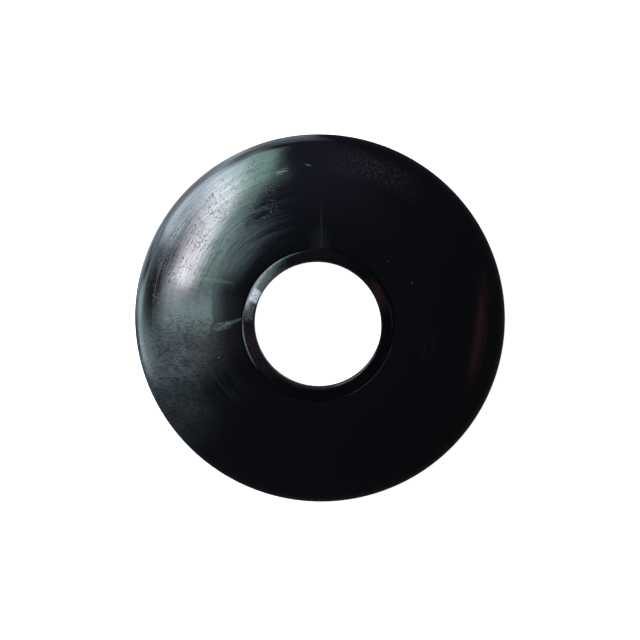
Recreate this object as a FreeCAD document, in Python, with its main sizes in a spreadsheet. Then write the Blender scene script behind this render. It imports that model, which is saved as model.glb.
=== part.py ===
"""Sink plunger bell: a shallow rubber dome with a hard snap-together collar round the hole in its crown.

Millimetres, +Z up. The origin is the centre of the foot ring that seals on the sink.
Three pieces turn about Z. The collar drops through the rubber from above, and the backing
ring snaps over its neck from below, so the two grip the rubber between them.
"""

import FreeCAD, Part

import math
import os

import Sketcher

# Driving dimensions, in millimetres. Each becomes a cell of the sheet, with the name as its alias.
SIZES = (
    ("bell_diameter", 100.0, "widest diameter of the rubber bell"),
    ("crown_height", 14.5, "top of the rubber at the collar, above the foot"),
    ("bell_wall", 3.0, "thickness of the rubber"),
    ("dome_radius", 61.5, "radius of the dome's outer arc"),
    ("rim_radius", 5.0, "radius of the rounded rim, outside"),
    ("foot_round", 1.2, "radius under the rim, outside the foot"),
    ("lip_setback", 0.6, "how far the foot's inner edge is chamfered back"),
    ("seat_depth", 0.5, "depth of the collar's seat in the crown"),
    ("seat_lip_round", 0.06, "rounding of the rubber lip round the seat"),
    ("clamped_rubber", 2.2, "rubber left between the collar and the backing ring"),
    ("crease_diameter", 89.6, "diameter of the fold line near the rim"),
    ("crease_section", 0.2, "width of the fold line's round-bottomed groove"),
    ("spout_bore", 34.0, "bore through the collar"),
    ("neck_wall", 0.9, "wall of the collar's neck"),
    ("neck_clearance", 0.2, "gap between the neck and the rubber, on the radius"),
    ("flange_reach", 3.3, "how far the collar's flange reaches out from the bore"),
    ("flange_clearance", 0.15, "gap between the flange and the rubber lip, on the radius"),
    ("flange_edge", 0.6, "height of the flange at its outer edge"),
    ("face_rise", 1.1, "how much higher the flange stands at the bore than at its edge"),
    ("mouth_round", 0.2, "rounding where the flange turns into the bore"),
    ("edge_round", 0.65, "rounding of the flange's outer edge"),
    ("ring_thickness", 1.6, "thickness of the backing ring"),
    ("ring_reach", 3.4, "how far the backing ring reaches out past the neck"),
    ("ring_clearance", 0.05, "gap between the neck and the backing ring, on the radius"),
    ("ring_seat_clearance", 0.25, "gap between the backing ring and its seat, on the radius"),
    ("ring_round", 0.5, "rounding of the backing ring's lower outer edge"),
    ("barb_height", 0.8, "height of the barb at the neck's lower end"),
    ("barb_reach", 0.35, "how far the barb stands out from the neck"),
    ("barb_clearance", 0.1, "gap between the barb and the backing ring"),
)

SHEET = "sizes"
ORIGIN_POINT = (-1, 1)
START, END, CENTRE = 1, 2, 3
ROUND_TOLERANCE = 1e-3


def make_sheet(doc):
    """Writes each driving dimension into a row of the sheet, and returns the values by name."""
    sheet = doc.addObject("Spreadsheet::Sheet", SHEET)
    for row, (name, value, meaning) in enumerate(SIZES, start=1):
        sheet.set(f"A{row}", meaning)
        sheet.set(f"B{row}", str(value))
        sheet.setAlias(f"B{row}", name)
    doc.recompute()
    return {name: sheet.get(name) for name, _, _ in SIZES}


def point(x, z):
    return FreeCAD.Vector(x, z, 0)


def line(start, end):
    return Part.LineSegment(point(*start), point(*end))


def arc(centre, radius, start_angle, end_angle):
    """An arc that runs anticlockwise between two angles in radians."""
    circle = Part.Circle(point(*centre), FreeCAD.Vector(0, 0, 1), radius)
    return Part.ArcOfCircle(circle, start_angle, end_angle)


def polar(centre, radius, angle):
    return centre[0] + radius * math.cos(angle), centre[1] + radius * math.sin(angle)


class Section:
    """A sketch of half a turned piece: X is the radius, and Y is the height."""

    def __init__(self, body, name):
        plane = next(item for item in body.Origin.OriginFeatures if item.Role == "XZ_Plane")
        self.sketch = body.newObject("Sketcher::SketchObject", name)
        self.sketch.AttachmentSupport = [(plane, "")]
        self.sketch.MapMode = "FlatFace"

    def add(self, curve):
        return self.sketch.addGeometry(curve, False)

    def constrain(self, kind, *where):
        return self.sketch.addConstraint(Sketcher.Constraint(kind, *where))

    def size(self, kind, value, expression, *where):
        """Adds a dimension and binds it to the sheet."""
        index = self.constrain(kind, *where, value)
        self.sketch.setExpression(f"Constraints[{index}]", expression)

    def across(self, geometry, end, expression):
        """Sets a point's radius from the axis."""
        value = self.sketch.getPoint(geometry, end).x
        self.size("DistanceX", value, expression, *ORIGIN_POINT, geometry, end)

    def up(self, geometry, end, expression):
        """Sets a point's height over the origin."""
        value = self.sketch.getPoint(geometry, end).y
        self.size("DistanceY", value, expression, *ORIGIN_POINT, geometry, end)

    def rise(self, geometry, expression):
        """Sets how far a line climbs from its start to its end."""
        foot, top = (self.sketch.getPoint(geometry, end).y for end in (START, END))
        self.size("DistanceY", top - foot, expression, geometry, START, geometry, END)

    def run(self, geometry, expression):
        """Sets how far a line reaches outwards from its start to its end."""
        near, far = (self.sketch.getPoint(geometry, end).x for end in (START, END))
        self.size("DistanceX", far - near, expression, geometry, START, geometry, END)

    def measure(self, name, kind, geometry, end):
        """Adds a named dimension that only reads a point's place, for other features to use."""
        where = self.sketch.getPoint(geometry, end)
        value = where.x if kind == "DistanceX" else where.y
        index = self.constrain(kind, *ORIGIN_POINT, geometry, end, value)
        self.sketch.setDriving(index, False)
        self.sketch.renameConstraint(index, name)

    def outline(self, corners):
        """Draws a closed outline of straight lines, flat ones and upright ones kept so."""
        lines = []
        for start, end in zip(corners, corners[1:] + corners[:1]):
            index = self.add(line(start, end))
            if start[1] == end[1]:
                self.constrain("Horizontal", index)
            elif start[0] == end[0]:
                self.constrain("Vertical", index)
            lines.append(index)
        for first, second in zip(lines, lines[1:] + lines[:1]):
            self.constrain("Coincident", first, END, second, START)
        return lines


def turn(body, kind, name, section):
    """Turns a section once round the vertical axis, to add or to cut."""
    feature = body.newObject(kind, name)
    feature.Profile = section.sketch
    feature.ReferenceAxis = (section.sketch, ["V_Axis"])
    feature.Angle = 360
    body.Tip = feature
    return feature


def round_edge(body, kind, name, radius, height, size_property, expression):
    """Rounds or bevels the circular edge of the body's tip at a radius and a height."""
    tip = body.Tip
    found = [
        f"Edge{index}"
        for index, edge in enumerate(tip.Shape.Edges, start=1)
        if isinstance(edge.Curve, Part.Circle)
        and abs(edge.Curve.Radius - radius) < ROUND_TOLERANCE
        and abs(edge.Curve.Center.z - height) < ROUND_TOLERANCE
    ]
    if not found:
        raise ValueError(f"{name}: no edge of radius {radius:.2f} at height {height:.2f}")
    feature = body.newObject(kind, name)
    feature.Base = (tip, found)
    feature.setExpression(size_property, expression)
    body.Tip = feature
    body.Document.recompute()
    return feature


def make_bell(doc, size):
    """The moulded rubber dome, from the hole's wall out over the dome and rim to the foot."""
    body = doc.addObject("PartDesign::Body", "rubber_bell")
    section = Section(body, "bell_section")

    hole = size["spout_bore"] / 2 + size["neck_wall"] + size["neck_clearance"]
    seat = size["spout_bore"] / 2 + size["flange_reach"] + size["flange_clearance"]
    neck_outside = size["spout_bore"] / 2 + size["neck_wall"]
    ring_seat = neck_outside + size["ring_reach"] + size["ring_seat_clearance"]
    rim = size["bell_diameter"] / 2
    wall = size["bell_wall"]
    dome_radius = size["dome_radius"]
    rim_radius = size["rim_radius"]
    crown = size["crown_height"]
    seat_floor = crown - size["seat_depth"]
    ring_ceiling = seat_floor - size["clamped_rubber"]
    foot_round = size["foot_round"]

    # The dome's arc starts at the seat's edge and runs smoothly into the rim's arc.
    rim_centre = (rim - rim_radius, foot_round)
    across = rim_centre[0] - seat
    down = rim_centre[1] - crown
    span = math.hypot(across, down)
    to_rim = dome_radius - rim_radius
    along = (dome_radius**2 - to_rim**2 + span**2) / (2 * span)
    aside = math.sqrt(dome_radius**2 - along**2)
    dome_centre = (
        seat + (across * along + down * aside) / span,
        crown + (down * along - across * aside) / span,
    )
    join = math.atan2(rim_centre[1] - dome_centre[1], rim_centre[0] - dome_centre[0])
    crown_angle = math.atan2(crown - dome_centre[1], seat - dome_centre[0])
    inner_radius = dome_radius - wall
    inner_angle = math.acos((ring_seat - dome_centre[0]) / inner_radius)
    inner_top = polar(dome_centre, inner_radius, inner_angle)
    inner_rim = rim_radius - wall
    foot_inside = rim - wall + size["lip_setback"]

    hole_wall = section.add(line((hole, ring_ceiling), (hole, seat_floor)))
    seat_face = section.add(line((hole, seat_floor), (seat, seat_floor)))
    seat_wall = section.add(line((seat, seat_floor), (seat, crown)))
    dome = section.add(arc(dome_centre, dome_radius, join, crown_angle))
    edge = section.add(arc(rim_centre, rim_radius, 0, join))
    under = section.add(arc((rim - foot_round, foot_round), foot_round, -math.pi / 2, 0))
    foot = section.add(line((rim - foot_round, 0), (foot_inside, 0)))
    lip = section.add(line((foot_inside, 0), (rim - wall, foot_round)))
    inside_edge = section.add(arc(rim_centre, inner_rim, 0, join))
    ceiling = section.add(arc(dome_centre, inner_radius, join, inner_angle))
    ring_wall = section.add(line(inner_top, (ring_seat, ring_ceiling)))
    ring_face = section.add(line((ring_seat, ring_ceiling), (hole, ring_ceiling)))

    for upright in (hole_wall, seat_wall, ring_wall):
        section.constrain("Vertical", upright)
    for level in (seat_face, foot, ring_face):
        section.constrain("Horizontal", level)
    section.constrain("Coincident", hole_wall, END, seat_face, START)
    section.constrain("Coincident", seat_face, END, seat_wall, START)
    section.constrain("Coincident", seat_wall, END, dome, END)
    section.constrain("Tangent", dome, START, edge, END)
    section.constrain("Tangent", edge, START, under, END)
    section.constrain("Coincident", under, START, foot, START)
    section.constrain("Coincident", foot, END, lip, START)
    section.constrain("Coincident", lip, END, inside_edge, START)
    section.constrain("Tangent", inside_edge, END, ceiling, START)
    section.constrain("Coincident", ceiling, END, ring_wall, START)
    section.constrain("Coincident", ring_wall, END, ring_face, START)
    section.constrain("Coincident", ring_face, END, hole_wall, START)
    section.constrain("Coincident", ceiling, CENTRE, dome, CENTRE)
    section.constrain("Coincident", inside_edge, CENTRE, edge, CENTRE)
    section.constrain("Horizontal", edge, CENTRE, edge, START)
    section.constrain("Horizontal", inside_edge, CENTRE, inside_edge, START)
    section.constrain("Vertical", under, CENTRE, under, START)

    section.across(hole_wall, END, "sizes.spout_bore / 2 + sizes.neck_wall + sizes.neck_clearance")
    section.across(
        seat_wall, START, "sizes.spout_bore / 2 + sizes.flange_reach + sizes.flange_clearance"
    )
    section.across(
        ring_wall,
        END,
        "sizes.spout_bore / 2 + sizes.neck_wall + sizes.ring_reach + sizes.ring_seat_clearance",
    )
    section.up(seat_wall, END, "sizes.crown_height")
    section.rise(seat_wall, "sizes.seat_depth")
    section.rise(hole_wall, "sizes.clamped_rubber")
    section.size("Radius", dome_radius, "sizes.dome_radius", dome)
    section.size("Radius", rim_radius, "sizes.rim_radius", edge)
    section.size("Radius", inner_rim, "sizes.rim_radius - sizes.bell_wall", inside_edge)
    section.size("Radius", foot_round, "sizes.foot_round", under)
    section.across(edge, START, "sizes.bell_diameter / 2")
    section.constrain("PointOnObject", under, START, -1)
    section.across(
        foot, END, "sizes.bell_diameter / 2 - sizes.bell_wall + sizes.lip_setback"
    )
    section.measure("dome_centre_across", "DistanceX", dome, CENTRE)
    section.measure("dome_centre_up", "DistanceY", dome, CENTRE)
    turn(body, "PartDesign::Revolution", "bell_dome", section)
    doc.recompute()

    round_edge(
        body, "PartDesign::Fillet", "seat_lip", seat, crown, "Radius",
        "min(sizes.seat_lip_round; sizes.seat_depth * 0.8)",
    )

    # A groove with its centre on the dome's surface marks the line where the rim folds.
    crease = Section(body, "crease_section")
    crease_across = size["crease_diameter"] / 2
    off_centre = crease_across - dome_centre[0]
    crease_up = dome_centre[1] + math.sqrt(dome_radius**2 - off_centre**2)
    circle = Part.Circle(
        point(crease_across, crease_up), FreeCAD.Vector(0, 0, 1), size["crease_section"] / 2
    )
    ring = crease.add(circle)
    crease.size("Radius", size["crease_section"] / 2, "sizes.crease_section / 2", ring)
    crease.across(ring, CENTRE, "sizes.crease_diameter / 2")
    crease.up(
        ring,
        CENTRE,
        "bell_section.Constraints.dome_centre_up + sqrt((sizes.dome_radius * 1 mm)^2 - "
        "(sizes.crease_diameter / 2 * 1 mm - bell_section.Constraints.dome_centre_across)^2)",
    )
    uncreased = body.Tip.Shape.Volume
    turn(body, "PartDesign::Groove", "crease", crease)
    doc.recompute()
    if body.Tip.Shape.Volume >= uncreased:
        raise ValueError("the crease cuts nothing")
    body.Label = "rubber_bell"
    return body


def make_collar(doc, size):
    """The hard collar: a flange with a sloping face, a neck through the rubber, and a barb."""
    body = doc.addObject("PartDesign::Body", "collar")
    section = Section(body, "collar_section")
    bore = size["spout_bore"] / 2
    neck = bore + size["neck_wall"]
    flange = bore + size["flange_reach"]
    barb = neck + size["barb_reach"]
    edge_top = size["flange_edge"]
    face_top = edge_top + size["face_rise"]
    neck_end = -size["clamped_rubber"] - size["ring_thickness"]
    barb_top = neck_end + size["barb_height"]

    inside, _, rim, seat, outside, catch, lead, end = section.outline([
        (bore, neck_end),
        (bore, face_top),
        (flange, edge_top),
        (flange, 0),
        (neck, 0),
        (neck, barb_top),
        (barb, barb_top),
        (neck, neck_end),
    ])
    section.across(inside, START, "sizes.spout_bore / 2")
    section.across(rim, START, "sizes.spout_bore / 2 + sizes.flange_reach")
    section.across(outside, START, "sizes.spout_bore / 2 + sizes.neck_wall")
    section.across(lead, END, "sizes.spout_bore / 2 + sizes.neck_wall")
    section.run(catch, "sizes.barb_reach")
    section.constrain("PointOnObject", seat, START, -1)
    section.up(rim, START, "sizes.flange_edge")
    section.up(inside, END, "sizes.flange_edge + sizes.face_rise")
    section.up(end, END, "-sizes.clamped_rubber - sizes.ring_thickness")
    section.up(catch, START, "sizes.barb_height - sizes.clamped_rubber - sizes.ring_thickness")
    turn(body, "PartDesign::Revolution", "collar_turning", section)
    doc.recompute()

    round_edge(
        body, "PartDesign::Fillet", "mouth", bore, face_top, "Radius",
        "min(sizes.mouth_round; sizes.neck_wall * 0.9)",
    )
    round_edge(
        body, "PartDesign::Fillet", "flange_rim", flange, edge_top, "Radius",
        "min(sizes.edge_round; sizes.flange_edge * 1.1)",
    )
    body.setExpression("Placement.Base.z", "sizes.crown_height - sizes.seat_depth")
    body.Label = "collar"
    return body


def make_backing_ring(doc, size):
    """The ring under the rubber, with a step in its bore that the collar's barb snaps below."""
    body = doc.addObject("PartDesign::Body", "backing_ring")
    section = Section(body, "ring_section")
    neck = size["spout_bore"] / 2 + size["neck_wall"]
    bore = neck + size["ring_clearance"]
    step = neck + size["barb_reach"] + size["barb_clearance"]
    outside = neck + size["ring_reach"]
    bottom = -size["ring_thickness"]
    step_up = bottom + size["barb_height"] + size["barb_clearance"]

    throat, top, rim, underside, pocket, ledge = section.outline([
        (bore, step_up),
        (bore, 0),
        (outside, 0),
        (outside, bottom),
        (step, bottom),
        (step, step_up),
    ])
    section.across(throat, START, "sizes.spout_bore / 2 + sizes.neck_wall + sizes.ring_clearance")
    section.across(
        pocket,
        START,
        "sizes.spout_bore / 2 + sizes.neck_wall + sizes.barb_reach + sizes.barb_clearance",
    )
    section.across(rim, START, "sizes.spout_bore / 2 + sizes.neck_wall + sizes.ring_reach")
    section.constrain("PointOnObject", top, START, -1)
    section.up(underside, START, "-sizes.ring_thickness")
    section.up(ledge, START, "sizes.barb_height + sizes.barb_clearance - sizes.ring_thickness")
    turn(body, "PartDesign::Revolution", "ring_turning", section)
    doc.recompute()

    round_edge(
        body, "PartDesign::Fillet", "ring_edge", outside, bottom, "Radius",
        "min(sizes.ring_round; sizes.ring_thickness * 0.5)",
    )
    body.setExpression(
        "Placement.Base.z", "sizes.crown_height - sizes.seat_depth - sizes.clamped_rubber"
    )
    body.Label = "backing_ring"
    return body


def check(doc, pieces):
    """Stops if any object failed, a sketch is loose, or a piece isn't one valid solid."""
    for item in doc.Objects:
        if "Invalid" in item.State or "Error" in item.State:
            raise ValueError(f"{item.Name} failed: {item.State}")
        if item.isDerivedFrom("Sketcher::SketchObject") and item.solve() != 0:
            raise ValueError(f"{item.Name} can't be solved")
    for piece in pieces:
        if piece.Shape.isNull() or not piece.Shape.isValid():
            raise ValueError(f"{piece.Label} has no valid shape")
        if len(piece.Shape.Solids) != 1:
            raise ValueError(f"{piece.Label} has {len(piece.Shape.Solids)} solids")


def main():
    doc = FreeCAD.newDocument("plunger_bell")
    size = make_sheet(doc)
    pieces = [make_bell(doc, size), make_collar(doc, size), make_backing_ring(doc, size)]
    doc.recompute()
    check(doc, pieces)
    os.makedirs("parts", exist_ok=True)
    for piece in pieces:
        piece.Shape.exportStep(f"parts/{piece.Label}.step")
        box = piece.Shape.optimalBoundingBox(False)
        print(
            f"{piece.Label}: {piece.Shape.Volume:.0f} mm3, "
            f"{box.XLength:.2f} wide, from {box.ZMin:.2f} to {box.ZMax:.2f}"
        )


main()
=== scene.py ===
"""Looks of a sink plunger's bell: a moulded rubber dome, its hard collar and the ring behind it.

Laid out as an add-on: one operator makes each piece, and one makes the stage. Everything is in
metres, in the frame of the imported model. Run it as a script.
"""

import math

import bmesh
import bpy
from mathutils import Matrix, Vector, noise


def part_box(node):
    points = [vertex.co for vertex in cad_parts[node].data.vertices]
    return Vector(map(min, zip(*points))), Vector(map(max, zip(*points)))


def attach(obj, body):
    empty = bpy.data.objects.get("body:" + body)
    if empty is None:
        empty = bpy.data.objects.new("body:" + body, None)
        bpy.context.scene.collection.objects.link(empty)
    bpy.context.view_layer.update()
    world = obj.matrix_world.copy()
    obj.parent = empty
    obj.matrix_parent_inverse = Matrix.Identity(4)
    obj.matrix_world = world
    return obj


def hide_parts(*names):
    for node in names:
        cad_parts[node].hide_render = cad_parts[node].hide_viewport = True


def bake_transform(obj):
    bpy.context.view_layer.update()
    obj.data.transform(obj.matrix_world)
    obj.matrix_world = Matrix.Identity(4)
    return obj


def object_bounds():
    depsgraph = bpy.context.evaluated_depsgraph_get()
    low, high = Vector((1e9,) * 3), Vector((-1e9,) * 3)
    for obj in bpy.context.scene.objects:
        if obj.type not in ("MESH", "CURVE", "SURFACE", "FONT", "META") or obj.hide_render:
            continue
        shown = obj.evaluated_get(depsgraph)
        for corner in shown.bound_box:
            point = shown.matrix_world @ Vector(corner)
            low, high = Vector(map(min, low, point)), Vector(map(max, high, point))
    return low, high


bl_info = {
    "name": "Sink Plunger Bell",
    "version": (1, 0, 0),
    "blender": (4, 5, 0),
    "location": "3D View > Sidebar > Plunger",
    "description": "Makes a rubber plunger bell, its collar and backing ring, and a plain studio",
    "category": "Add Mesh",
}

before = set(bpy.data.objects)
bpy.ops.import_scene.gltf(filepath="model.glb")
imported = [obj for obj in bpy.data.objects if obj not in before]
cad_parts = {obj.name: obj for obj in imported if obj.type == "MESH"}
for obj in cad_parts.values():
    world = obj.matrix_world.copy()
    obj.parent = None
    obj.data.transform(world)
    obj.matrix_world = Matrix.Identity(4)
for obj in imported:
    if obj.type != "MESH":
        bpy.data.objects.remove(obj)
CAD_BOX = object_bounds()
BELL_LOW, BELL_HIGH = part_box("rubber_bell")
COLLAR_LOW, COLLAR_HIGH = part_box("collar")
RING_LOW, RING_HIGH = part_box("backing_ring")

MM = 0.001

# How finely the pieces are turned.
BELL_SEGMENTS = 384
COLLAR_SEGMENTS = 320
RING_SEGMENTS = 288

# Where the camera looks, near the middle of the bell.
AIM = Vector((0.0001, -0.00033, 0.0012))


# Properties ----------------------------------------------------------------------------------


def length(name, description, default):
    """A length in metres."""
    return bpy.props.FloatProperty(
        name=name, description=description, default=default, min=0.0, subtype="DISTANCE",
        unit="LENGTH", precision=5,
    )


def colour(name, description, default):
    return bpy.props.FloatVectorProperty(
        name=name, description=description, default=default, size=3, min=0.0, max=1.0,
        subtype="COLOR",
    )


def share(name, description, default):
    return bpy.props.FloatProperty(
        name=name, description=description, default=default, min=0.0, max=1.0, subtype="FACTOR"
    )


class BellSettings(bpy.types.PropertyGroup):
    """Sizes of the rubber bell."""

    crown_height: length("Crown height", "Top of the rubber beside the collar", 14.5 * MM)
    wall: length("Wall", "Thickness of the rubber", 3.0 * MM)
    dome_radius: length("Dome radius", "Radius of the outer arc", 61.5 * MM)
    rim_radius: length("Rim radius", "Radius of the rounded rim", 5.0 * MM)
    foot_round: length("Foot round", "Radius under the rim", 1.2 * MM)
    lip_setback: length("Lip setback", "Chamfer inside the foot", 0.6 * MM)
    seat_radius: length("Seat radius", "Radius of the collar's seat", 20.45 * MM)
    seat_depth: length("Seat depth", "Depth of the collar's seat", 0.5 * MM)
    seat_lip: length("Seat lip", "Rounding of the rubber round the seat", 0.06 * MM)
    hole_radius: length("Hole radius", "Radius of the hole for the neck", 18.1 * MM)
    clamped: length("Clamped rubber", "Rubber between collar and backing ring", 2.2 * MM)
    ring_seat_radius: length("Ring seat", "Radius of the backing ring's seat", 21.55 * MM)
    crease_radius: length("Crease radius", "Radius of the fold line", 44.8 * MM)
    crease_depth: length("Crease depth", "Depth of the fold line", 0.008 * MM)
    crease_width: length("Crease width", "Half the width of the fold line", 0.14 * MM)
    flash: length("Flash", "Height of the mould's witness line round the rim", 0.05 * MM)
    unevenness: length("Unevenness", "Shallow waves that moulding leaves", 0.03 * MM)


class CollarSettings(bpy.types.PropertyGroup):
    """Sizes of the collar and of the ring that its neck snaps into."""

    bore_radius: length("Bore radius", "Radius of the bore", 17.0 * MM)
    neck_radius: length("Neck radius", "Outside of the neck", 17.9 * MM)
    flange_edge: length("Flange edge", "Height of the flange at its edge", 0.6 * MM)
    face_rise: length("Face rise", "How much the face climbs towards the bore", 1.1 * MM)
    mouth_round: length("Mouth round", "Rounding into the bore", 0.2 * MM)
    edge_round: length("Edge round", "Rounding of the flange's edge", 0.65 * MM)
    barb_height: length("Barb height", "Height of the barb", 0.8 * MM)
    barb_reach: length("Barb reach", "How far the barb stands out", 0.35 * MM)
    barb_clearance: length("Barb clearance", "Gap between barb and ring", 0.1 * MM)
    ring_throat: length("Ring throat", "Radius of the backing ring's throat", 17.95 * MM)
    ring_pocket: length("Ring pocket", "Radius of the barb's pocket", 18.35 * MM)
    ring_round: length("Ring round", "Rounding of the backing ring", 0.5 * MM)


class FinishSettings(bpy.types.PropertyGroup):
    """Colours and gloss of the rubber and the plastics."""

    rubber: colour("Rubber", "Colour of the clean rubber", (0.0012, 0.0014, 0.0022))
    bloom: colour("Bloom", "Colour of the dull film on worn rubber", (0.058, 0.067, 0.071))
    dried: colour("Dried film", "Colour of the film where it has dried", (0.062, 0.058, 0.056))
    # The thick film's colour is also a painted sheen, lighter and greener where window light
    # scatters off it.
    pale: colour("Pale film", "Colour of the film where it is thickest", (0.085, 0.108, 0.103))
    # The swirl colour paints a sheen on real wiping marks, lighter where light catches them.
    swirl: colour("Swirl", "Colour of the marks a wiping cloth left", (0.030, 0.036, 0.052))
    scuff: colour("Scuff", "Colour of dry scuffs", (0.17, 0.165, 0.185))
    rubber_roughness: share("Rubber roughness", "Roughness of the clean rubber", 0.108)
    collar: colour("Collar", "Colour of the collar", (0.0015, 0.0014, 0.0020))
    collar_wear: colour("Collar wear", "Colour of the collar's rubbed edges", (0.036, 0.031, 0.030))
    ring: colour("Backing ring", "Colour of the backing ring", (0.012, 0.012, 0.013))


class StudioSettings(bpy.types.PropertyGroup):
    """The camera and the floor."""

    tilt: bpy.props.FloatProperty(
        name="Tilt", description="How far the camera leans off the bell's axis",
        default=math.radians(7.5), subtype="ANGLE", unit="ROTATION",
    )
    lean: bpy.props.FloatProperty(
        name="Lean", description="Which way the camera leans, anticlockwise from +X",
        default=math.radians(71.3), subtype="ANGLE", unit="ROTATION",
    )
    distance: length("Distance", "From the camera to the bell", 1.2)
    view_width: length("View width", "Width that the picture takes in at the bell", 0.1728)
    floor_size: length("Floor size", "Side of the floor", 8.0)
    floor: colour("Floor", "Colour of the floor", (0.86, 0.86, 0.86))


# Shader maths --------------------------------------------------------------------------------


class Graph:
    """The nodes of one material."""

    def __init__(self, tree):
        self.tree = tree
        tree.nodes.clear()

    def node(self, kind, settings=None, inputs=None):
        """Adds a node, makes its settings, and then sets or links its sockets."""
        made = self.tree.nodes.new(kind)
        for name, value in (settings or {}).items():
            setattr(made, name, value)
        for name, value in (inputs or {}).items():
            self.feed(made.inputs[name], value)
        return made

    def feed(self, socket, value):
        if isinstance(value, Value):
            self.tree.links.new(value.socket, socket)
        elif isinstance(value, bpy.types.NodeSocket):
            self.tree.links.new(value, socket)
        else:
            socket.default_value = value

    def value(self, kind, output, settings=None, inputs=None):
        return Value(self, self.node(kind, settings, inputs).outputs[output])

    def maths(self, operation, *numbers):
        return self.value(
            "ShaderNodeMath", 0, {"operation": operation}, dict(enumerate(numbers))
        )

    def ease(self, number, low, high):
        """0 up to low, 1 from high, and smooth between. With low over high it falls."""
        return self.value(
            "ShaderNodeMapRange", 0, {"interpolation_type": "SMOOTHSTEP"},
            {"Value": number, "From Min": low, "From Max": high},
        )

    def between(self, number, low, low_soft, high, high_soft):
        """1 between two numbers, with a soft edge at each."""
        up = self.ease(number, low - low_soft, low + low_soft)
        return up * self.ease(number, high + high_soft, high - high_soft)

    def vector(self, x=0.0, y=0.0, z=0.0):
        return self.node("ShaderNodeCombineXYZ", None, {"X": x, "Y": y, "Z": z}).outputs[0]

    def noise(self, place, scale, detail=2.0, rough=0.5):
        return self.value(
            "ShaderNodeTexNoise", 0, {"noise_dimensions": "3D"},
            {"Vector": place, "Scale": scale, "Detail": detail, "Roughness": rough},
        )

    def cells(self, place, scale):
        """Distance from the middle of the nearest cell."""
        return self.value(
            "ShaderNodeTexVoronoi", 0, {"feature": "F1"},
            {"Vector": place, "Scale": scale, "Randomness": 1.0},
        )

    def mix(self, factor, first, second):
        """A colour between two colours."""
        made = self.node("ShaderNodeMix", {"data_type": "RGBA", "clamp_factor": True})
        self.feed(made.inputs[0], factor)
        for socket, tint in ((made.inputs[6], first), (made.inputs[7], second)):
            self.feed(socket, tint if isinstance(tint, bpy.types.NodeSocket) else (*tint, 1))
        return made.outputs[2]

    def bump(self, height):
        """A normal from a height in millimetres."""
        return self.node(
            "ShaderNodeBump", None, {"Strength": 1.0, "Distance": MM, "Height": height}
        ).outputs[0]


class Value:
    """A number that varies over the surface. Arithmetic on it adds Math nodes."""

    def __init__(self, graph, socket):
        self.graph = graph
        self.socket = socket

    def __add__(self, other):
        return self.graph.maths("ADD", self, other)

    def __radd__(self, other):
        return self.graph.maths("ADD", other, self)

    def __sub__(self, other):
        return self.graph.maths("SUBTRACT", self, other)

    def __rsub__(self, other):
        return self.graph.maths("SUBTRACT", other, self)

    def __mul__(self, other):
        return self.graph.maths("MULTIPLY", self, other)

    def __rmul__(self, other):
        return self.graph.maths("MULTIPLY", other, self)

    def __truediv__(self, other):
        return self.graph.maths("DIVIDE", self, other)

    def __rtruediv__(self, other):
        return self.graph.maths("DIVIDE", other, self)

    def __abs__(self):
        return self.graph.maths("ABSOLUTE", self)


class Place:
    """Where a point of a turned piece is, in millimetres and radians."""

    def __init__(self, graph, centre=(0.0, 0.0)):
        self.graph = graph
        metres = graph.node("ShaderNodeTexCoord").outputs["Object"]
        scaled = graph.node(
            "ShaderNodeVectorMath", {"operation": "SCALE"}, {"Vector": metres, "Scale": 1 / MM}
        ).outputs[0]
        self.point = scaled
        axes = graph.node("ShaderNodeSeparateXYZ", None, {"Vector": scaled}).outputs
        self.x = Value(graph, axes[0]) - centre[0]
        self.y = Value(graph, axes[1]) - centre[1]
        self.z = Value(graph, axes[2])
        self.radius = graph.maths("SQRT", self.x * self.x + self.y * self.y)
        self.angle = graph.maths("ARCTAN2", self.y, self.x)

    def around(self, radius_scale, angle_scale):
        """Texture space stretched along the circles round the centre."""
        return self.graph.vector(self.radius * radius_scale, self.angle * angle_scale, self.z * 0.2)

    def ring(self, low, high, soft):
        """1 between two radii, with soft edges."""
        return self.graph.between(self.radius, low, soft, high, soft)

    def sector(self, middle, half, soft):
        """1 within an angle either side of a direction, in degrees."""
        c, s = math.cos(math.radians(middle)), math.sin(math.radians(middle))
        ahead = self.x * c + self.y * s
        off = self.graph.maths("ARCTAN2", abs(self.y * c - self.x * s), ahead) * (180 / math.pi)
        return self.graph.ease(off, half + soft, half - soft)

    def patch(self, x, y, half_width, half_height, turn, soft):
        """1 inside an ellipse, with a soft edge. turn is in degrees."""
        c, s = math.cos(math.radians(turn)), math.sin(math.radians(turn))
        along = ((self.x - x) * c + (self.y - y) * s) / half_width
        across = ((self.y - y) * c - (self.x - x) * s) / half_height
        return self.graph.ease(along * along + across * across, 1 + soft, 1 - soft)


def new_material(name):
    material = bpy.data.materials.new(name)
    material.use_nodes = True
    return material, Graph(material.node_tree)


def finish_material(graph, sockets):
    shader = graph.node("ShaderNodeBsdfPrincipled", None, sockets)
    graph.node("ShaderNodeOutputMaterial", None, {"Surface": shader.outputs[0]})


# Materials -----------------------------------------------------------------------------------

# Patches of painted highlight and painted reflection on the collar's face and flange edge, on the
# sides where light catches it: direction, half width and softness in degrees, the radii they run
# between in millimetres, how uneven they are, and their colour.
COLLAR_PAINTED_GLINTS = (
    (155, 5.5, 1.2, 17.3, 19.4, 0.65, (0.37, 0.33, 0.35)),
    (170, 6.5, 3.0, 17.4, 19.4, 0.80, (0.033, 0.042, 0.045)),
    (196, 15, 8.0, 19.7, 20.2, 0.25, (0.060, 0.058, 0.068)),
    (205, 22, 10.0, 17.3, 19.4, 0.60, (0.009, 0.0055, 0.0075)),
    (27, 11, 8.0, 17.3, 19.6, 0.70, (0.024, 0.010, 0.008)),
    (8, 10, 6.0, 19.8, 20.2, 0.40, (0.020, 0.017, 0.019)),
)


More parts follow.
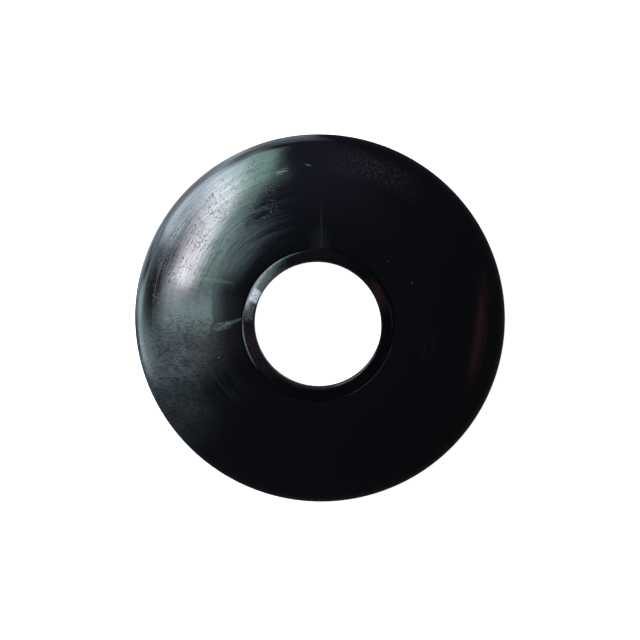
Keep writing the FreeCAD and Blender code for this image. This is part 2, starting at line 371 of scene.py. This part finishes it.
def moulded_rubber(looks):
    """Glossy black rubber: pitted, wiped round its axis, and dulled where it was handled, with
    painted sheen on its wiping marks, knit line and film.
    """
    material, g = new_material("moulded_rubber")
    at = Place(g)
    wiped = Place(g, centre=(-1.6, 1.2))
    outside = g.ease(at.z, 0.9, 2.2)

    # Skin: a shallow orange peel under a finer grain.
    peel = g.noise(at.point, 0.30, 2.0)
    grain = g.noise(at.point, 4.6, 3.0, 0.62)

    # Polish: long faint strokes all the way round.
    strokes = g.noise(at.around(0.85, 1.5), 1.0, 3.0, 0.62)
    hairs = g.noise(wiped.around(3.0, 3.4), 1.0, 3.0, 0.66)

    # Swirls: wiping marks near the hole, painted as a lighter sheen only on the upper left, where
    # the light catches them.
    swirl_area = wiped.ring(22.5, 35.5, 3.2) * wiped.sector(140.0, 30.0, 16.0)
    swirl_low = wiped.ring(26.0, 33.5, 2.0) * wiped.sector(216.0, 12.0, 8.0)
    bands = g.ease(g.noise(wiped.around(0.62, 1.1), 1.0, 2.0, 0.55), 0.46, 0.64)
    threads = g.ease(g.noise(wiped.around(1.9, 1.9), 1.0, 3.0, 0.62), 0.50, 0.66)
    swirls = (swirl_area + swirl_low * 0.25) * (bands * 0.40 + threads * 0.42)

    # Pits: short specks along the strokes, in loose clusters on the outer half.
    clusters = g.ease(g.noise(at.point, 0.17, 4.0, 0.66), 0.45, 0.58)
    band = at.ring(30.5, 46.5, 2.0) * at.sector(143.0, 35.0, 9.0)
    pits = g.ease(g.noise(at.around(2.6, 52.0), 1.0, 2.0, 0.7), 0.565, 0.64) * clusters * band
    fine_pits = g.ease(g.noise(at.around(5.5, 90.0), 1.0, 1.0), 0.60, 0.68) * band * g.ease(
        g.noise(at.point, 0.24, 3.0, 0.6), 0.42, 0.60
    )

    # Film: dull and mottled, low on the left, with a clean-edged patch above it. The patch is real
    # film
    # with a painted sheen: it is painted lighter and greener where the window light scatters off
    # it.
    speckle = g.noise(at.point, 1.9, 4.0, 0.76)
    mottle = g.noise(g.vector(at.x * 0.85, at.y * 2.3, at.z * 0.5), 1.0, 4.0, 0.72)
    cloudy = g.ease(g.noise(at.point, 0.13, 3.0, 0.6), 0.36, 0.62)
    patchy = 0.42 + g.ease(mottle, 0.40, 0.54) * 0.66
    film_area = at.ring(29.0, 52.0, 5.5) * at.sector(194.0, 8.0, 12.0)
    film_area += at.ring(37.5, 52.0, 6.0) * at.sector(214.0, 4.0, 14.0) * 0.38
    film = film_area * (0.64 + cloudy * 0.45) * patchy
    film += at.ring(21.5, 34.0, 3.0) * at.sector(180.0, 16.0, 14.0) * 0.11
    dried = g.ease(at.radius, 38.5, 31.5)
    wiped_edge = at.x + 28.5 + (peel - 0.5) * 2.4
    top_edge = at.y - (at.x + 28) * 0.35 + (mottle - 0.5) * 9.0
    level = g.ease(at.y, -7.0, 3.0) * g.ease(top_edge, 14.5, 3.5)
    inward = g.ease(wiped_edge, 0.3, -0.5) * 0.55 + g.ease(at.x, -23.6, -28.8) * 0.45
    pale = level * inward * g.ease(at.radius, 46.0, 40.5)
    pale *= g.maths("MINIMUM", patchy + g.ease(at.y, 0.0, 7.0), 1.0)
    pale *= 1.0 + (speckle - 0.5) * 0.8 - (pits + fine_pits) * 0.5
    pale_line = level * g.ease(abs(wiped_edge), 0.5, 0.1) * g.ease(at.y, -1.0, 1.5)
    smears_and_painted_arc = at.patch(-26.0, -0.6, 2.8, 1.1, 16.0, 0.97) * g.ease(mottle, 0.34, 0.60)
    smears_and_painted_arc += at.patch(-22.6, 0.7, 3.2, 0.40, 20.0, 0.95) * 0.6
    # Painted reflection: a thin light arc along the top of the patch, where a reflection's edge
    # lies.
    smears_and_painted_arc += at.patch(-27.0, 11.6, 3.9, 0.5, -6.0, 0.98) * 0.38
    pale = g.maths("MAXIMUM", pale, smears_and_painted_arc * 0.7)

    # Dry marks.
    dust_area = at.ring(40.6, 46.6, 1.8) * at.sector(70.0, 13.0, 11.0)
    dust = dust_area * (0.10 + g.ease(speckle, 0.49, 0.60))
    nick = at.patch(-9.7, 40.7, 1.7, 0.75, 24.0, 0.9) * g.ease(hairs, 0.44, 0.60)
    nick += at.patch(-2.8, 42.3, 0.85, 0.13, -14.0, 0.7) * 0.8
    specks = g.ease(g.cells(at.point, 0.17), 0.030, 0.018)
    knit = g.ease(abs(at.x - 1.0 + (peel - 0.5) * 0.7), 0.30, 0.05) * g.ease(at.y, 2, 8)
    knit *= at.ring(19.5, 32.5, 2.5)
    # Painted sheen: a soft lighter glow beside the knit line near the hole.
    knit_painted_glow = at.patch(0.6, 20.6, 2.4, 5.0, 0.0, 0.98)

    dull = g.maths("MINIMUM", film + pale_line * 0.35, 1.0) * outside
    dry = g.maths("MINIMUM", dust * 0.07 + nick * 0.5 + specks * 0.7 + knit * 0.045, 1.0) * outside
    smudge = at.patch(29.6, -5.4, 3.4, 1.8, 62.0, 0.95) * threads
    # Wiping marks, the knit line's glow and a smudge, mixed in as a lighter painted sheen.
    wipes_and_painted_sheen = g.maths("MINIMUM", swirls + knit_painted_glow * 0.11 + smudge * 0.12, 1.0) * outside
    brushed = at.sector(148.0, 34.0, 34.0)
    lip = g.ease(at.radius, 20.75, 20.6)
    polish = (
        0.46
        + brushed * ((strokes - 0.5) + (hairs - 0.5) * 1.8 + (grain - 0.5) * 1.1)
        - pits * 0.9
        - fine_pits * 0.5
        - lip
    )
    skin = g.mix(wipes_and_painted_sheen, looks["rubber"], looks["swirl"])
    tinted = g.mix(dull, skin, g.mix(dried, looks["bloom"], looks["dried"]))
    covered = g.mix(pale, tinted, looks["pale"])
    final = g.mix(dry, covered, looks["scuff"])

    roughness = (
        looks["rubber_roughness"]
        + (grain - 0.5) * 0.06
        + (strokes - 0.5) * brushed * 0.20
        + (hairs - 0.5) * brushed * 0.10
        + wipes_and_painted_sheen * 0.08
        + pits * 0.14
        + fine_pits * 0.06
        + (dull + pale) * 0.20
        + dry * 0.3
    )
    height = (
        peel * 0.032
        + grain * 0.0020
        + hairs * brushed * 0.0018
        - pits * 0.020
        - fine_pits * 0.008
        + mottle * dull * 0.020
        + dry * 0.010
        + knit * 0.010
    )
    finish_material(g, {
        "Base Color": final,
        "Roughness": g.maths("MAXIMUM", roughness, 0.06),
        "Normal": g.bump(height),
        "IOR": 1.38,
        "Coat Weight": g.maths("MINIMUM", g.maths("MAXIMUM", polish - dry, 0.0), 1.0),
        "Coat Roughness": 0.08,
    })
    return material


def gloss_plastic(name, base, wear, face_low, face_high, roughness, worn=()):
    """Hard black moulding with fine scuffs and edges rubbed lighter and dull, and patches of
    painted highlight and painted reflection.

    worn lists those painted patches, laid out as the collar's table is.
    """
    material, g = new_material(name)
    at = Place(g)
    ripple = g.noise(at.point, 0.9, 2.0)
    lines = g.noise(at.around(9.0, 5.0), 1.0, 3.0, 0.7)
    scratches = g.ease(lines, 0.60, 0.70)
    across = g.noise(at.around(0.8, 60.0), 1.0, 3.0, 0.7)
    knocks = g.ease(g.noise(at.point, 1.7, 3.0, 0.7), 0.56, 0.70)
    edges = g.ease(abs(at.radius - face_low - 0.3), 0.28, 0.05) + g.ease(
        abs(at.radius - face_high), 0.26, 0.05
    )
    rubbed = g.maths("MINIMUM", edges * (0.35 + knocks), 1.0)
    grain = g.noise(at.point, 6.0, 2.0, 0.6)
    tint = g.mix(rubbed * 0.55 + scratches * 0.08, base, wear)
    dulled = rubbed * 0.12
    # Painted highlights and painted reflections: each patch lightens or tints the moulding in one
    # direction, where light catches it.
    for middle, half, soft, low, high, uneven, glint_colour in worn:
        patch = at.sector(middle, half, soft) * at.ring(low, high, 0.10)
        patch *= 1 - uneven * g.ease(across, 0.42, 0.58)
        tint = g.mix(patch, tint, glint_colour)
        dulled += patch * 0.10
    finish_material(g, {
        "Base Color": tint,
        "Roughness": roughness + (grain - 0.5) * 0.05 + dulled + scratches * 0.05,
        "Normal": g.bump(
            ripple * 0.018 + grain * 0.0012 - scratches * 0.0016 - knocks * 0.003
        ),
        "IOR": 1.38,
    })
    return material


# Meshes --------------------------------------------------------------------------------------


def sweep(centre, radius, start, end, steps):
    """Points along an arc, in order, from one angle to another."""
    return [
        (
            centre[0] + radius * math.cos(start + (end - start) * i / steps),
            centre[1] + radius * math.sin(start + (end - start) * i / steps),
        )
        for i in range(steps + 1)
    ]


def straight(start, end, steps):
    """Points along a line, without its last."""
    return [
        (start[0] + (end[0] - start[0]) * i / steps, start[1] + (end[1] - start[1]) * i / steps)
        for i in range(steps)
    ]


def turned(name, outline, segments, shift=None):
    """Turns a closed outline of (radius, height) points once round Z.

    shift(point, index) may return a moved point, where index is its place in the outline.
    """
    mesh = bmesh.new()
    rings = []
    for step in range(segments):
        angle = 2 * math.pi * step / segments
        c, s = math.cos(angle), math.sin(angle)
        ring = []
        for index, (radius, height) in enumerate(outline):
            point = Vector((radius * c, radius * s, height))
            ring.append(mesh.verts.new(shift(point, index) if shift else point))
        rings.append(ring)
    count = len(outline)
    for ring, following in zip(rings, rings[1:] + rings[:1]):
        for i in range(count):
            j = (i + 1) % count
            mesh.faces.new((ring[i], following[i], following[j], ring[j]))
    bmesh.ops.recalc_face_normals(mesh, faces=mesh.faces)
    data = bpy.data.meshes.new(name)
    mesh.to_mesh(data)
    mesh.free()
    data.shade_smooth()
    data.set_sharp_from_angle(angle=math.radians(38))
    made = bpy.data.objects.new(name, data)
    bpy.context.scene.collection.objects.link(made)
    return made


def rounded_corner(before, corner, after, radius, steps=6):
    """Points that round one corner of an outline."""
    corner = Vector(corner)
    to_before = (Vector(before) - corner).normalized()
    to_after = (Vector(after) - corner).normalized()
    half = to_before.angle(to_after) / 2
    reach = radius / math.tan(half)
    middle = corner + (to_before + to_after).normalized() * radius / math.sin(half)
    start, end = corner + to_before * reach, corner + to_after * reach
    first = math.atan2(start.y - middle.y, start.x - middle.x)
    last = math.atan2(end.y - middle.y, end.x - middle.x)
    turn = (last - first + math.pi) % (2 * math.pi) - math.pi
    return sweep(middle, radius, first, first + turn, steps)


def round_outline(corners):
    """A closed outline from (point, radius) corners, sharp where the radius is 0."""
    outline = []
    for i, (corner, radius) in enumerate(corners):
        before, after = corners[i - 1][0], corners[(i + 1) % len(corners)][0]
        outline += rounded_corner(before, corner, after, radius) if radius else [corner]
    return outline


def bell_outline(bell):
    """The bell's section, and the two ends of its free outer skin in the list."""
    rim = BELL_HIGH.x - bell.flash
    foot_round = bell.foot_round
    rim_centre = (rim - bell.rim_radius, foot_round)
    seat, crown = bell.seat_radius, bell.crown_height
    across, down = rim_centre[0] - seat, rim_centre[1] - crown
    span = math.hypot(across, down)
    to_rim = bell.dome_radius - bell.rim_radius
    along = (bell.dome_radius**2 - to_rim**2 + span**2) / (2 * span)
    aside = math.sqrt(bell.dome_radius**2 - along**2)
    centre = (
        seat + (across * along + down * aside) / span,
        crown + (down * along - across * aside) / span,
    )
    join = math.atan2(rim_centre[1] - centre[1], rim_centre[0] - centre[0])
    start = math.atan2(crown - centre[1], seat - centre[0])

    def dome_point(angle):
        """A point of the dome, sunk where the fold line runs."""
        radius = bell.dome_radius
        off = (centre[0] + radius * math.cos(angle) - bell.crease_radius) / bell.crease_width
        radius -= bell.crease_depth * math.exp(-off * off)
        radius += 0.25 * bell.crease_depth * math.exp(-((abs(off) - 2.2) ** 2))
        return centre[0] + radius * math.cos(angle), centre[1] + radius * math.sin(angle)

    crease_angle = math.acos((bell.crease_radius - centre[0]) / bell.dome_radius)
    reach = 5 * bell.crease_width / bell.dome_radius
    lip_angle = start - 1.2 * bell.seat_lip / bell.dome_radius
    stretches = (
        (lip_angle, crease_angle + reach, 44),
        (crease_angle + reach, crease_angle - reach, 26),
        (crease_angle - reach, join, 5),
    )
    dome = [
        dome_point(first + (last - first) * i / steps)
        for first, last, steps in stretches
        for i in range(steps)
    ]

    floor_level = crown - bell.seat_depth
    lip = rounded_corner((seat, floor_level), (seat, crown), dome[0], bell.seat_lip)
    rim_arc = sweep(rim_centre, bell.rim_radius, join, 0.06, 22)
    flash = [(rim + bell.flash, foot_round), (rim - 0.2 * bell.flash, foot_round - 0.12 * MM)]
    under = sweep((rim - foot_round, foot_round), foot_round, -0.18, -math.pi / 2, 10)
    inside = rim - bell.wall
    chamfer = straight((inside + bell.lip_setback, 0), (inside, foot_round), 4)
    inner_rim = sweep(rim_centre, bell.rim_radius - bell.wall, 0, join, 12)
    inner_radius = bell.dome_radius - bell.wall
    inner_end = math.acos((bell.ring_seat_radius - centre[0]) / inner_radius)
    ceiling = sweep(centre, inner_radius, join, inner_end, 60)[1:]
    ring_face = floor_level - bell.clamped
    hole = bell.hole_radius
    outline = straight((hole, ring_face), (hole, floor_level), 4)
    outline += straight((hole, floor_level), (seat, floor_level), 4) + [(seat, floor_level)]
    outline += lip
    skin_start = len(outline)
    outline += [p for p in dome if p[0] > lip[-1][0] + 0.05 * MM]
    outline += rim_arc
    skin_end = len(outline)
    outline += flash + under + chamfer + inner_rim + ceiling
    outline += straight((bell.ring_seat_radius, ring_face), (hole, ring_face), 5)
    return outline, skin_start, skin_end


def make_bell(bell, material):
    outline, skin_start, skin_end = bell_outline(bell)

    def uneven(point, index):
        """Sinks the outer skin by shallow waves that fade out at both its ends."""
        if not skin_start < index < skin_end:
            return point
        inward = min((index - skin_start) / 8, 1) * min((skin_end - index) / 18, 1)
        wave = noise.noise(point / (14 * MM)) + 0.5 * noise.noise(point / (5.5 * MM))
        depth = bell.unevenness * inward * (0.5 + 0.5 * wave)
        return point - Vector((0, 0, max(depth, 0)))

    made = turned("bell_moulding", outline, BELL_SEGMENTS, uneven)
    made.data.materials.append(material)
    return made


def make_collar(collar, bell, material):
    bore, neck = collar.bore_radius, collar.neck_radius
    flange, bottom = COLLAR_HIGH.x, COLLAR_LOW.z
    seat = bell.crown_height - bell.seat_depth
    edge_top = seat + collar.flange_edge
    barb_top = bottom + collar.barb_height
    barb = neck + collar.barb_reach
    corners = [
        ((bore, bottom), 0.12 * MM),
        ((bore, edge_top + collar.face_rise), collar.mouth_round),
        ((flange, edge_top), collar.edge_round),
        ((flange, seat), 0.05 * MM),
        ((neck, seat), 0.0),
        ((neck, barb_top), 0.0),
        ((barb, barb_top), 0.06 * MM),
        ((neck, bottom), 0.10 * MM),
    ]
    made = turned("collar_moulding", round_outline(corners), COLLAR_SEGMENTS)
    made.data.materials.append(material)
    return made


def make_ring(collar, material):
    outside, top, bottom = RING_HIGH.x, RING_HIGH.z, RING_LOW.z
    step_up = bottom + collar.barb_height + collar.barb_clearance
    corners = [
        ((collar.ring_throat, step_up), 0.04 * MM),
        ((collar.ring_throat, top), 0.08 * MM),
        ((outside, top), 0.12 * MM),
        ((outside, bottom), collar.ring_round),
        ((collar.ring_pocket, bottom), 0.12 * MM),
        ((collar.ring_pocket, step_up), 0.0),
    ]
    made = turned("backing_ring_moulding", round_outline(corners), RING_SEGMENTS)
    made.data.materials.append(material)
    return made


# Stage ---------------------------------------------------------------------------------------

# Soft panels of light hung round the bell. Across and along are degrees off its axis, in a
# flat chart of the sky that is turned anticlockwise: low edge, softness, high edge, softness.
PANELS = (
    ("window", -19, (-51.6, 4.5, -39.2, 4.5), (-11.4, 3.5, 27, 12), 15.0, (0.94, 0.92, 1.0)),
    ("window_foot", -14, (-55.5, 3.0, -44, 5.0), (-14.5, 3.5, -3, 5), 6.0, (0.86, 0.90, 1.0)),
    ("window_edge", -12, (-44, 4.0, -28.8, 3.0), (-4, 2.5, 55, 6), 3.5, (0.60, 1.0, 0.91)),
    ("window_top", -12, (-52, 5.0, -36.5, 5.0), (27, 6.0, 42, 6), 2.6, (0.66, 0.98, 0.94)),
    ("window_haze", 0, (-30, 4.0, -18.5, 5.0), (3, 4.0, 20, 4), 2.0, (0.66, 0.94, 1.0)),
    ("far_window", 140, (53.5, 6.0, 88, 9.0), (-18, 9.0, 22.5, 5), 8.0, (0.75, 0.87, 1.0)),
    ("sky", 142, (57, 6.0, 108, 6.0), (-31, 10.0, 37, 7), 2.4, (0.68, 0.85, 1.0)),
    ("tall_wall", 115, (43, 5.0, 92, 9.0), (-5, 5.0, 7, 5), 2.0, (0.62, 1.0, 0.94)),
    ("low_wall", 190, (68.5, 6.0, 106, 8.0), (-23, 7.0, 17, 10), 4.0, (0.70, 0.96, 1.0)),
    ("rim_glow", 155, (92, 8.0, 150, 12), (-75, 12.0, 70, 15), 1.2, (0.80, 0.95, 1.0)),
    ("rim_top", 108, (88, 8.0, 150, 12), (-28, 10.0, 45, 10), 0.9, (0.80, 0.95, 1.0)),
    ("dusk", 100, (24, 20.0, 110, 8.0), (-22, 12.0, 12, 10), 0.15, (0.58, 0.52, 1.0)),
    ("warm_lamp", -12, (53.0, 1.5, 56.5, 1.5), (-14, 9.0, 16, 9), 0.30, (1.0, 0.36, 0.48)),
)


def make_floor(studio):
    half = studio.floor_size / 2
    level = CAD_BOX[0].z
    mesh = bmesh.new()
    corners = [mesh.verts.new((x * half, y * half, level)) for x, y in
               ((-1, -1), (1, -1), (1, 1), (-1, 1))]
    mesh.faces.new(corners)
    data = bpy.data.meshes.new("studio_floor")
    mesh.to_mesh(data)
    mesh.free()
    made = bpy.data.objects.new("studio_floor", data)
    bpy.context.scene.collection.objects.link(made)
    material, g = new_material("pale_floor")
    at = Place(g)
    paper = g.noise(at.point, 0.05, 2.0)
    finish_material(g, {
        "Base Color": g.mix(paper, studio.floor, [c * 0.98 for c in studio.floor]),
        "Roughness": 0.9,
        "Emission Color": (1, 1, 1, 1),
        "Emission Strength": 1.0,
        "Specular IOR Level": 0.0,
    })
    data.materials.append(material)
    made.visible_glossy = False


def make_air():
    """Soft panels of light, dim air between them, and white behind the bell."""
    world = bpy.data.worlds.new("studio_air")
    world.use_nodes = True
    bpy.context.scene.world = world
    g = Graph(world.node_tree)
    toward = g.node("ShaderNodeTexCoord").outputs["Generated"]
    axes = [Value(g, axis) for axis in g.node("ShaderNodeSeparateXYZ", None, {0: toward}).outputs]
    level = g.maths("MAXIMUM", g.maths("SQRT", axes[0] * axes[0] + axes[1] * axes[1]), 0.001)
    off_axis = g.maths("ARCTAN2", level, axes[2]) * (180 / math.pi)
    east, north = off_axis * axes[0] / level, off_axis * axes[1] / level
    glow = g.vector(0.052, 0.052, 0.062)
    for name, turn, across, along, brightness, tint in PANELS:
        c, s = math.cos(math.radians(turn)), math.sin(math.radians(turn))
        inside = g.between(east * c + north * s, *across) * g.between(north * c - east * s, *along)
        tinted = g.node("ShaderNodeVectorMath", {"operation": "SCALE", "label": name}, {
            "Vector": [part * brightness for part in tint], "Scale": inside,
        })
        glow = g.node("ShaderNodeVectorMath", {"operation": "ADD"}, {0: glow, 1: tinted.outputs[0]})
        glow = glow.outputs[0]
    panels = g.node("ShaderNodeBackground", None, {"Color": glow})
    white = g.node("ShaderNodeBackground", None, {"Color": (1, 1, 1, 1)})
    seen = g.node("ShaderNodeLightPath").outputs["Is Camera Ray"]
    both = g.node("ShaderNodeMixShader", None, {0: seen, 1: panels.outputs[0], 2: white.outputs[0]})
    g.node("ShaderNodeOutputWorld", None, {"Surface": both.outputs[0]})


def make_camera(studio):
    data = bpy.data.cameras.new("camera")
    camera = bpy.data.objects.new("camera", data)
    bpy.context.scene.collection.objects.link(camera)
    bpy.context.scene.camera = camera
    aside = math.sin(studio.tilt)
    back = Vector((
        aside * math.cos(studio.lean), aside * math.sin(studio.lean), math.cos(studio.tilt)
    ))
    camera.location = AIM + back * studio.distance
    right = Vector((0, 1, 0)).cross(back).normalized()
    up = back.cross(right)
    turn = camera.matrix_world.copy()
    for row in range(3):
        turn[row][0], turn[row][1], turn[row][2] = right[row], up[row], back[row]
    camera.rotation_mode = "QUATERNION"
    camera.rotation_quaternion = turn.to_quaternion()
    data.lens = data.sensor_width * studio.distance / studio.view_width
    data.clip_start, data.clip_end = 0.01, 50


# Operators -----------------------------------------------------------------------------------


def finishes(context):
    """The colours and shares of the finish settings, as plain numbers."""
    looks = context.scene.plunger_finish
    plain = {}
    for name in looks.bl_rna.properties.keys():
        if name in ("rna_type", "name"):
            continue
        setting = getattr(looks, name)
        plain[name] = setting if isinstance(setting, float) else tuple(setting)
    return plain


class PLUNGER_OT_bell(bpy.types.Operator):
    """Makes the rubber bell."""

    bl_idname = "plunger.bell"
    bl_label = "Rubber Bell"

    def execute(self, context):
        bell = context.scene.plunger_bell
        made = make_bell(bell, moulded_rubber(finishes(context)))
        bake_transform(made)
        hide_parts("rubber_bell")
        return {"FINISHED"}


class PLUNGER_OT_collar(bpy.types.Operator):
    """Makes the hard collar that lines the bore."""

    bl_idname = "plunger.collar"
    bl_label = "Collar"

    def execute(self, context):
        looks = finishes(context)
        collar = context.scene.plunger_collar
        # The collar's table puts painted highlights and painted reflections on it.
        material = gloss_plastic(
            "collar_plastic", looks["collar"], looks["collar_wear"],
            collar.bore_radius / MM, COLLAR_HIGH.x / MM, 0.10, COLLAR_PAINTED_GLINTS,
        )
        made = make_collar(collar, context.scene.plunger_bell, material)
        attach(made, "crown")
        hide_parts("collar")
        return {"FINISHED"}


class PLUNGER_OT_backing_ring(bpy.types.Operator):
    """Makes the ring under the rubber that holds the collar."""

    bl_idname = "plunger.backing_ring"
    bl_label = "Backing Ring"

    def execute(self, context):
        looks = finishes(context)
        collar = context.scene.plunger_collar
        material = gloss_plastic(
            "ring_plastic", looks["ring"], looks["collar_wear"],
            collar.ring_pocket / MM, RING_HIGH.x / MM, 0.38,
        )
        made = make_ring(collar, material)
        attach(made, "crown")
        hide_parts("backing_ring")
        return {"FINISHED"}


class PLUNGER_OT_stage(bpy.types.Operator):
    """Makes the floor, the soft lights, the air and the camera."""

    bl_idname = "plunger.stage"
    bl_label = "Studio"

    def execute(self, context):
        studio = context.scene.plunger_studio
        make_floor(studio)
        make_air()
        make_camera(studio)
        context.scene.view_settings.view_transform = "Standard"
        return {"FINISHED"}


class PLUNGER_PT_panel(bpy.types.Panel):
    """Lists the pieces of the plunger bell."""

    bl_idname = "PLUNGER_PT_panel"
    bl_label = "Plunger Bell"
    bl_space_type = "VIEW_3D"
    bl_region_type = "UI"
    bl_category = "Plunger"

    def draw(self, context):
        for operator in OPERATORS:
            self.layout.operator(operator.bl_idname)


OPERATORS = (PLUNGER_OT_stage, PLUNGER_OT_bell, PLUNGER_OT_collar, PLUNGER_OT_backing_ring)
SETTINGS = {
    "plunger_bell": BellSettings,
    "plunger_collar": CollarSettings,
    "plunger_finish": FinishSettings,
    "plunger_studio": StudioSettings,
}


def register():
    for name, group in SETTINGS.items():
        bpy.utils.register_class(group)
        setattr(bpy.types.Scene, name, bpy.props.PointerProperty(type=group))
    for operator in OPERATORS:
        bpy.utils.register_class(operator)
    bpy.utils.register_class(PLUNGER_PT_panel)


def unregister():
    bpy.utils.unregister_class(PLUNGER_PT_panel)
    for operator in reversed(OPERATORS):
        bpy.utils.unregister_class(operator)
    for name, group in SETTINGS.items():
        delattr(bpy.types.Scene, name)
        bpy.utils.unregister_class(group)


def main():
    register()
    bpy.ops.plunger.stage()
    bpy.ops.plunger.bell()
    bpy.ops.plunger.collar()
    bpy.ops.plunger.backing_ring()


if __name__ == "__main__":
    main()
